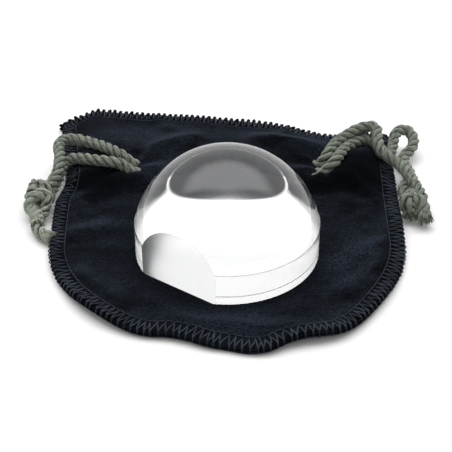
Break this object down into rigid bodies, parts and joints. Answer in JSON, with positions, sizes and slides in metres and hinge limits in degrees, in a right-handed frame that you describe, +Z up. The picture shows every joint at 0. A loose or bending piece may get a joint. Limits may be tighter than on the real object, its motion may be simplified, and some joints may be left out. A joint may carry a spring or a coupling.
{
  "type": "low vision magnifier",
  "caption": "Clear dome magnifier with a short skirt and one side flat, lying on its flat soft drawstring pouch with knotted cords.",
  "frame": {"origin": "underside of the pouch, straight below the middle of the lens", "axes": "+Z up out of the table, +Y towards the pouch's mouth, +X to the right when facing the mouth"},
  "size_m": [0.1536, 0.1495, 0.041],
  "materials": {
    "lens_glass": "polished clear optical glass",
    "pouch_cloth": "dark navy brushed velour",
    "seam_thread": "slate grey overlock thread",
    "cord": "grey green two-ply twisted cotton cord"
  },
  "bodies": {
    "pouch": {"pouch_back_panel": "pouch_cloth", "pouch_front_panel": "pouch_cloth", "side_seam_thread": "seam_thread", "front_mouth_thread": "seam_thread", "back_mouth_thread": "seam_thread", "front_drawcord": "cord", "back_drawcord": "cord", "left_knot": "cord", "right_knot": "cord"},
    "lens": {"lens": "lens_glass"}
  },
  "joints": [
    {"name": "lens_lift", "type": "slide", "parent": "pouch", "child": "lens", "axis": [0, 0, 1], "range_m": [0, 0.12]}
  ]
}
